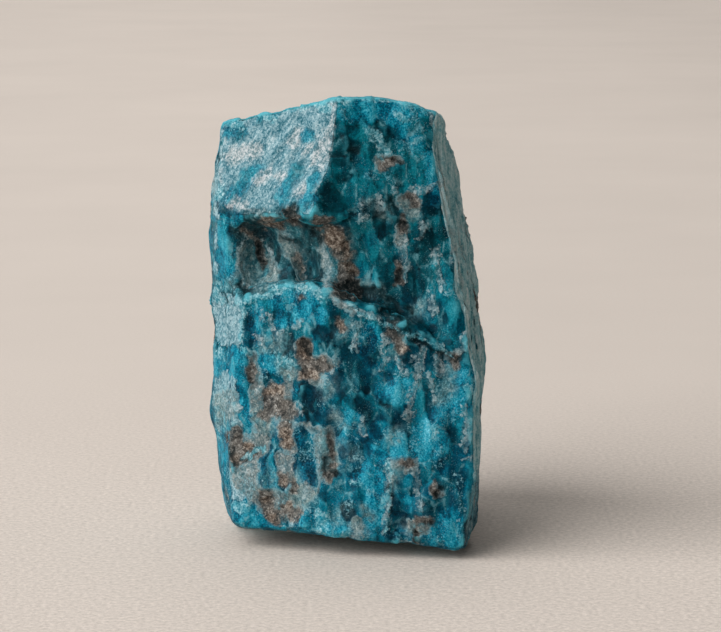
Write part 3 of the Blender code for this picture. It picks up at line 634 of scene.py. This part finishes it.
# the stone's colours, from dark to pale, and how they lie over each other
apatite = {
    "green": [
        (0.0, (0.0002, 0.012, 0.017)), (0.25, (0.0002, 0.034, 0.046)), (0.40, (0.0004, 0.066, 0.088)),
        (0.52, (0.0012, 0.118, 0.152)), (0.64, (0.008, 0.182, 0.228)), (0.78, (0.036, 0.265, 0.322)),
        (1.0, (0.16, 0.48, 0.53)),
    ],
    "blue": [
        (0.0, (0.0002, 0.014, 0.026)), (0.25, (0.0002, 0.040, 0.074)), (0.40, (0.0003, 0.078, 0.132)),
        (0.52, (0.0008, 0.138, 0.216)), (0.64, (0.006, 0.212, 0.306)), (0.78, (0.030, 0.292, 0.394)),
        (1.0, (0.16, 0.50, 0.61)),
    ],
    "frosted": [
        (0.34, (0.010, 0.085, 0.120)), (0.44, (0.062, 0.175, 0.220)), (0.52, (0.162, 0.292, 0.340)),
        (0.60, (0.295, 0.430, 0.472)), (0.70, (0.510, 0.620, 0.645)),
    ],
    "white": [(0.36, (0.110, 0.190, 0.210)), (0.48, (0.310, 0.360, 0.370)), (0.62, (0.600, 0.600, 0.610))],
    "grey": [
        (0.34, (0.028, 0.078, 0.085)), (0.45, (0.085, 0.170, 0.180)), (0.54, (0.180, 0.280, 0.282)),
        (0.68, (0.400, 0.490, 0.470)),
    ],
    "frost": [
        (0.30, (0.015, 0.130, 0.175)), (0.46, (0.075, 0.245, 0.300)), (0.60, (0.190, 0.385, 0.445)),
        (0.80, (0.380, 0.560, 0.615)),
    ],
    "slate": [
        (0.34, (0.045, 0.230, 0.285)), (0.44, (0.205, 0.450, 0.500)), (0.53, (0.430, 0.650, 0.675)),
        (0.68, (0.750, 0.850, 0.860)),
    ],
    "ice": [(0.36, (0.060, 0.165, 0.205)), (0.50, (0.175, 0.305, 0.350)), (0.64, (0.350, 0.495, 0.540))],
    "matrix": [
        (0.34, (0.032, 0.070, 0.076)), (0.45, (0.105, 0.148, 0.150)), (0.55, (0.195, 0.228, 0.224)),
        (0.66, (0.400, 0.430, 0.420)),
    ],
    "sand": [
        (0.34, (0.060, 0.140, 0.165)), (0.47, (0.150, 0.245, 0.270)), (0.57, (0.255, 0.345, 0.365)),
        (0.70, (0.460, 0.540, 0.560)),
    ],
    "brown": [
        (0.32, (0.016, 0.016, 0.015)), (0.45, (0.070, 0.062, 0.055)), (0.56, (0.158, 0.144, 0.128)),
        (0.68, (0.380, 0.375, 0.350)),
    ],
    "rust": [(0.36, (0.055, 0.040, 0.030)), (0.52, (0.185, 0.138, 0.105)), (0.68, (0.420, 0.370, 0.310))],
    # near black: painted shade for the clefts and grooves, and the dark of the cracks
    "shade": (0.003, 0.010, 0.012),
    # painted highlights along edges and the ledge
    "rim": [
        (0.36, (0.010, 0.150, 0.200)), (0.50, (0.080, 0.290, 0.350)), (0.62, (0.250, 0.460, 0.510)),
        (0.76, (0.520, 0.690, 0.720)),
    ],
    "border": (0.20, 0.33, 0.36),
    "line": (0.20, 0.43, 0.48),
    "glow": (0.004, 0.155, 0.195),
    # the next two are painted: highlights on sharp edges, partly their paler wear, and light through thin edges
    # and along the top
    "edge": (0.05, 0.30, 0.38),
    "thin": (0.10, 0.46, 0.54),
    # painted glints
    "glintSpeck": (0.45, 0.66, 0.72),
    "dust": (0.22, 0.50, 0.57),
    "tone": 0.358,           # how pale the clear crystal is, and how far each pattern changes it
    "tones": {"block": 0.26, "smallBlock": 0.16, "fibre": 0.26, "cloud": 0.34, "sand": 0.22, "grit": 0.50},
    "bluer": (10.0, 36.0),   # it is bluest below the first height, in millimetres
    "finer": {               # how fine the patterns are, in repeats for each millimetre
        "bend": 0.7, "grit": 5.0, "dust": 9.0, "sand": 1.9, "cloud": 0.24, "patchy": 0.55,
        "fibre": 2.0, "grains": 2.8, "streak": 1.8, "pools": 0.75, "layers": 2.4, "glintSpecks": 1.3,
    },
    "cover": {               # how much of what lies under it each one hides
        "glow": 0.35, "line": 0.6, "crack": 0.5, "white": 0.7, "ice": 0.9, "border": 0.6, "slate": 0.9,
        "dust": 0.30, "brown": 0.9, "rust": 0.7, "shade": 0.85, "rim": 0.75, "edge": 0.28, "thin": 0.5,
        "grooveShade": 0.35, "glintSpeck": 0.5,
    },
    "bend": 2.6,             # how far the patterns wander, in millimetres
    "slant": 53,             # of the frosted streaks, in degrees
    "gloss": 0.34,           # roughness of the clear crystal
    "matt": 0.85,            # roughness of frost and matrix
    "shine": 0.03,
    "ior": 1.55,
    "bump": 0.10,            # depth of the finest grain, in millimetres
}


class Patterns:  # what runs through the whole stone: the grain, and how ragged the marks are
    def __init__(self, f):
        finer, half = apatite["finer"], (0.5, 0.5, 0.5)
        self.finish, self.place = f, f.place()
        shift = f.vector("SUBTRACT", f.noise(self.place, finer["bend"], 3, output="Color"), half)
        bent = f.vector("ADD", self.place, f.vector("MULTIPLY", shift, (apatite["bend"],) * 3))
        self.tall = f.vector("MULTIPLY", bent, (1, 1, 0.42))
        self.grit = f.noise(self.place, finer["grit"], 2, 0.6)
        self.dust = f.noise(self.place, finer["dust"], 1)
        self.sand = f.noise(self.place, finer["sand"], 4, 0.7)
        self.cloud = f.noise(self.place, finer["cloud"], 3)
        self.patchy = f.noise(self.place, finer["patchy"], 3)
        self.fibre = f.noise(f.vector("MULTIPLY", bent, (1, 1, 0.18)), finer["fibre"], 4, 0.65)
        self.grains = f.cells(self.place, finer["grains"])
        self.grain = (self.grit - 0.5) * 0.6 + (self.sand - 0.5) * 0.35
        self.grain = self.grain + (self.grains.part(0) - 0.5) * 0.22 + 0.5
        slant = {"Rotation": (0, math.radians(-apatite["slant"]), 0), "Scale": (3.6, 1, 1)}
        slanted = f.node("ShaderNodeMapping", {"vector_type": "TEXTURE"}, {"Vector": self.place, **slant})
        self.streak = f.noise(slanted, finer["streak"], 4, 0.7)
        self.frosted = f.value("frosted")
        self.fuzz = (self.grit - 0.5) * 0.30 + (self.sand - 0.5) * 0.45 + (f.value("smallBlock") - 0.5) * 0.30
        self.fuzz = self.fuzz + (self.streak - 0.5) * self.frosted * 1.5
        self.lumps = (self.grains.part(2) + self.fuzz * 0.5).rise(0.30, 0.62)

    def inside(self, kind, soft=0.08, push=0.0):  # 1 inside the marks of a kind, 0 outside
        return (self.finish.value(kind) + self.fuzz + push).rise(-soft, soft)

    def border(self, kind, wide):  # 1 just outside them
        edge = self.finish.value(kind) + self.fuzz
        return edge.rise(-wide, -0.06) * (1 - edge.rise(0.0, 0.12))


def crystal(f, p, vivid, deep):  # clear crystal, from near black through teal to bright blue
    a = apatite
    patterns = {"block": f.value("block"), "smallBlock": f.value("smallBlock"),
                "fibre": p.fibre, "cloud": p.cloud, "sand": p.sand, "grit": p.grit}
    tone = f.value("blockOut") * 0.15 + a["tone"]
    for name, share in a["tones"].items():
        tone = tone + (patterns[name] - 0.5) * share
    tone = tone + vivid * ((p.fibre - 0.5) * 0.4 + (p.grit - 0.5) * 0.4 + 0.12) - deep * 0.27
    pool = f.noise(f.vector("MULTIPLY", p.place, (1, 1, 0.5)), a["finer"]["pools"], 2) + p.fuzz * 0.04
    tone = tone - pool.rise(0.46, 0.58) * 0.13
    low = 1 - p.place.part(2).rise(*a["bluer"])
    bluish = p.cloud - 0.5 + (pool - 0.5) * 0.8 + vivid * 0.40 + low * 0.45 + 0.20
    return f.mixed(bluish.rise(0.0, 0.9), f.ramped(tone, a["green"]), f.ramped(tone, a["blue"]))


def seams(f, p, colour, deep):  # pale veins between the crystals, hair lines, and the glow beside them
    a, cover = apatite, apatite["cover"]
    seam = f.value("seam") + p.fuzz * 0.10
    veined = (p.patchy + p.fuzz * 0.1).rise(0.46, 0.58)
    glow = (1 - seam.rise(0.0, 0.36)) * veined
    colour = f.mixed(glow * cover["glow"], colour, a["glow"])
    lines = (1 - seam.rise(0.0, 0.10)) * veined * p.sand.rise(0.38, 0.52)
    colour = f.mixed(lines * (1 - deep * 0.4) * cover["line"], colour, a["line"])
    cracks = (1 - seam.rise(0.0, 0.12)) * (1 - p.patchy.rise(0.40, 0.50))
    return f.mixed(cracks * cover["crack"], colour, a["shade"])


def paintedEdgeLightAndGrooveShade(f, p, colour, brownIn, slateIn):  # painted highlights on sharp edges, partly their paler wear; painted light through thin edges and along the top; painted shade in the grooves
    a, cover = apatite, apatite["cover"]
    ridge = f.value("ridge")
    edgeHighlightIn = (ridge + (p.sand - 0.5) * 0.6).rise(0.25, 1.0) * (1 - brownIn) * (1 - slateIn * 0.6)
    colour = f.mixed(edgeHighlightIn * cover["edge"], colour, a["edge"])
    thinEdgeLightIn = (f.value("thin") + p.fuzz * 0.5).rise(0.3, 1.0) * (1 - slateIn)
    colour = f.mixed(thinEdgeLightIn * cover["thin"], colour, a["thin"])
    # painted shade in the grooves
    return f.mixed((0 - ridge).rise(0.2, 1.0) * cover["grooveShade"], colour, a["shade"])


def glintSpecks(f, p, colour):  # small bright specks, painted glints
    glintSpeck = f.cells(p.place, apatite["finer"]["glintSpecks"])
    far = f.cells(p.place, apatite["finer"]["glintSpecks"], "Distance")
    glintSpeckIn = (1 - far.rise(0.05, 0.20)) * glintSpeck.part(0).rise(0.84, 0.88) * p.patchy.rise(0.52, 0.60)
    return f.mixed(glintSpeckIn * apatite["cover"]["glintSpeck"], colour, apatite["glintSpeck"])


def apatiteFinish():
    f = Finish("rawApatite")
    a, cover, p = apatite, apatite["cover"], Patterns(f)
    inside, grain, fibre, fuzz = p.inside, p.grain, p.fibre, p.fuzz
    lean = (f.value("block") - 0.5) * 0.9
    vivid, deep = inside("vivid", 0.28, lean), inside("deep", 0.30, 0.20 - lean)
    colour = seams(f, p, crystal(f, p, vivid, deep), deep)

    # the frosted face, streaked from lower left to upper right
    frostedIn = (p.frosted + fuzz * 0.25).rise(0.3, 0.6)
    face = f.ramped(p.streak * 0.5 + grain * 0.5 + (p.grit - 0.5) * 0.15, a["frosted"])
    colour = f.mixed(frostedIn * (1 - inside("vivid", 0.25) * 0.85) * (1 - deep * 0.7), colour, face)
    colour = f.mixed(inside("white", 0.4) * cover["white"], colour, f.ramped(grain, a["white"]))
    iceIn = inside("ice", 0.12)
    colour = f.mixed(iceIn * cover["ice"], colour, f.ramped(grain, a["ice"]))

    # sandy matrix between the blue crystals, which have pale rims
    matrixIn = inside("matrix", 0.16)
    matrix = f.ramped(grain * 0.65 + fibre * 0.35, a["matrix"])
    colour = f.mixed(matrixIn * (p.lumps * 0.25 + 0.66), colour, matrix)
    borderIn = p.border("matrix", 0.24) * (p.patchy + fuzz * 0.1).rise(0.34, 0.54)
    colour = f.mixed(borderIn * cover["border"], colour, a["border"])

    # dull grey crystal, frost, and the layered slate of the splintery side
    greyIn = inside("grey", 0.5).most(f.value("hollow") * (1 - vivid) * 0.6) * (1 - deep * 0.75)
    colour = f.mixed(greyIn * (p.lumps * 0.3 + 0.32), colour, f.ramped(grain * 0.6 + fibre * 0.4, a["grey"]))
    frostIn = (f.value("frost") + fuzz + (p.grains.part(1) - 0.5) * 0.8).rise(-0.08, 0.12)
    dots = (p.grit * 0.7 + p.dust * 0.3 + (p.grains.part(2) - 0.5) * 0.20).rise(0.45, 0.66)
    colour = f.mixed(frostIn * (dots * 0.55 + 0.12), colour, f.ramped(grain * 0.6 + dots * 0.24, a["frost"]))
    layer = f.noise(f.vector("MULTIPLY", p.place, (0.7, 1.0, 0.07)), a["finer"]["layers"], 4, 0.65)
    slateIn = (f.value("plates") + fuzz * 0.5).rise(0.3, 0.6)
    colour = f.mixed(slateIn * cover["slate"], colour, f.ramped(layer * 0.6 + grain * 0.4, a["slate"]))

    # pale veins, dust, brown matrix, painted shade in the clefts, and painted highlights along edges and the
    # ledge
    sandIn = (f.value("sand") + fuzz * 1.2 + (p.grains.part(1) - 0.5) * 0.2).rise(-0.04, 0.20)
    sandy = f.ramped(grain * 0.8 + fibre * 0.2 + (p.lumps - 0.5) * 0.08, a["sand"])
    colour = f.mixed(sandIn * (p.lumps * 0.45 + 0.20), colour, sandy)
    dusty = p.dust + (p.patchy - 0.5) * 0.5 + (sandIn + vivid - deep) * 0.03
    colour = f.mixed(dusty.rise(0.62, 0.76) * (1 - frostedIn * 0.7) * cover["dust"], colour, a["dust"])
    brownIn = inside("brown", 0.26)
    colour = f.mixed(brownIn * cover["brown"], colour, f.ramped(grain * 0.75 + fibre * 0.25, a["brown"]))
    colour = f.mixed(inside("rust", 0.4) * cover["rust"], colour, f.ramped(grain, a["rust"]))
    # painted shade in the clefts
    shadeIn = inside("shade", 0.4) * (1 - grain.rise(0.48, 0.70) * 0.35)
    colour = f.mixed(shadeIn * cover["shade"], colour, a["shade"])
    # painted highlights along edges and the ledge
    rimHighlightIn = (f.value("rim") + fuzz * 1.6 - 0.10).rise(-0.16, 0.16)
    colour = f.mixed(rimHighlightIn * cover["rim"], colour, f.ramped(grain, a["rim"]))
    colour = paintedEdgeLightAndGrooveShade(f, p, colour, brownIn, slateIn)
    f.join(f.shader.inputs["Base Color"], glintSpecks(f, p, colour))

    # frost and matrix are matt and rough, clear crystal is glossy with small facets
    matt = frostIn
    for covering in (iceIn, matrixIn, brownIn, slateIn, frostedIn * 0.9, sandIn * 0.9, greyIn * 0.5):
        matt = matt.most(covering)
    f.join(f.shader.inputs["Roughness"], matt * (a["matt"] - a["gloss"]) + a["gloss"] + (p.grit - 0.5) * 0.3)
    relief = p.grit * (matt * 0.9 + 0.1) + p.sand * (matt * 0.7 + 0.2) + fibre * 0.25
    relief = relief + f.facets(p.tall, 1.2) * 0.7 * (1 - matt * 0.6) + f.facets(p.place, 3.1) * 0.3
    bump = f.node("ShaderNodeBump", {}, {"Height": relief, "Strength": 0.9, "Distance": a["bump"] * mm}, "Normal")
    f.join(f.shader.inputs["Normal"], bump)
    f.shader.inputs["Specular IOR Level"].default_value = a["shine"]
    f.shader.inputs["IOR"].default_value = a["ior"]
    return f.material


skin.materials.clear()
skin.materials.append(apatiteFinish())
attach(rawStone, "root")
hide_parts("apatite")
print("stone finished")


# floor, light and camera
studio = {
    "floorColour": (0.590, 0.530, 0.480),
    "fill": 0.08,
    "lamps": {               # strength, where from, and how many degrees of the sky it covers
        "window": (4.2, (-0.72, -0.43, 0.56), 66.0),
        "ceiling": (1.0, (-0.05, 0.38, 0.92), 50.0),
    },
    "lightColour": (1.0, 0.985, 0.97),
    "floor": ((-1500, 1500), (-600, 2600)),      # across and back, in millimetres
    "weave": 0.95,           # contrast of the floor's fine grain
    "cloud": 0.12,           # and of its faint cloudiness
    "fading": 0.9,           # how much of the grain is gone far back
}


def floorFinish():
    f = Finish("paleFloor")
    place = f.place()
    cloth = f.noise(place, 1.8, 3, 0.7)
    cloud = f.noise(place, 0.012, 3, 0.6)
    across, back = place.part(0), place.part(1)
    # painted light falloff: the floor is darker towards the right and far back
    away = across.rise(-45, 45) * 0.07 + across.rise(40, 190) * 0.06 + back.rise(300, 1400) * 0.06
    weave = (cloth - 0.5) * (1 - back.rise(0, 110) * studio["fading"]) * studio["weave"]
    light = 1.03 - away + weave + (cloud - 0.5) * studio["cloud"]
    f.join(f.shader.inputs["Base Color"], f.vector("MULTIPLY", light, studio["floorColour"]))
    f.shader.inputs["Roughness"].default_value = 0.9
    f.shader.inputs["Specular IOR Level"].default_value = 0.05
    bump = f.node("ShaderNodeBump", {}, {"Height": cloth, "Strength": 0.35, "Distance": 0.12 * mm}, "Normal")
    f.join(f.shader.inputs["Normal"], bump)
    return f.material


def makeFloor():
    shape = bmesh.new()
    (left, right), (near, far) = studio["floor"]
    for side, depth in ((left, near), (right, near), (right, far), (left, far)):
        shape.verts.new((side * mm, depth * mm, 0))
    shape.faces.new(shape.verts)
    sheet = bpy.data.meshes.new("floor")
    shape.to_mesh(sheet)
    shape.free()
    sheet.materials.append(floorFinish())
    floor = bpy.data.objects.new("floor", sheet)
    bpy.context.scene.collection.objects.link(floor)


def addLight():
    for name, (strength, source, softness) in studio["lamps"].items():
        lamp = bpy.data.lights.new(name, "SUN")
        lamp.energy = strength
        lamp.angle = math.radians(softness)
        lamp.color = studio["lightColour"]
        thing = bpy.data.objects.new(name, lamp)
        thing.rotation_euler = Vector(source).to_track_quat("Z", "Y").to_euler()
        bpy.context.scene.collection.objects.link(thing)
    world = bpy.data.worlds.new("room")
    world.use_nodes = True
    sky = world.node_tree.nodes["Background"]
    sky.inputs["Color"].default_value = (*studio["lightColour"], 1)
    sky.inputs["Strength"].default_value = studio["fill"]
    bpy.context.scene.world = world


def addCamera():
    camera = bpy.data.objects.new("camera", bpy.data.cameras.new("camera"))
    bpy.context.scene.collection.objects.link(camera)
    camera.data.lens = view["lens"]
    camera.data.clip_start = 0.01
    camera.location = eye * mm
    camera.rotation_euler = (eye - view["aim"]).to_track_quat("Z", "Y").to_euler()
    bpy.context.scene.camera = camera
    bpy.context.scene.view_settings.view_transform = "Standard"


makeFloor()
addLight()
addCamera()
print("floor, light and camera set")
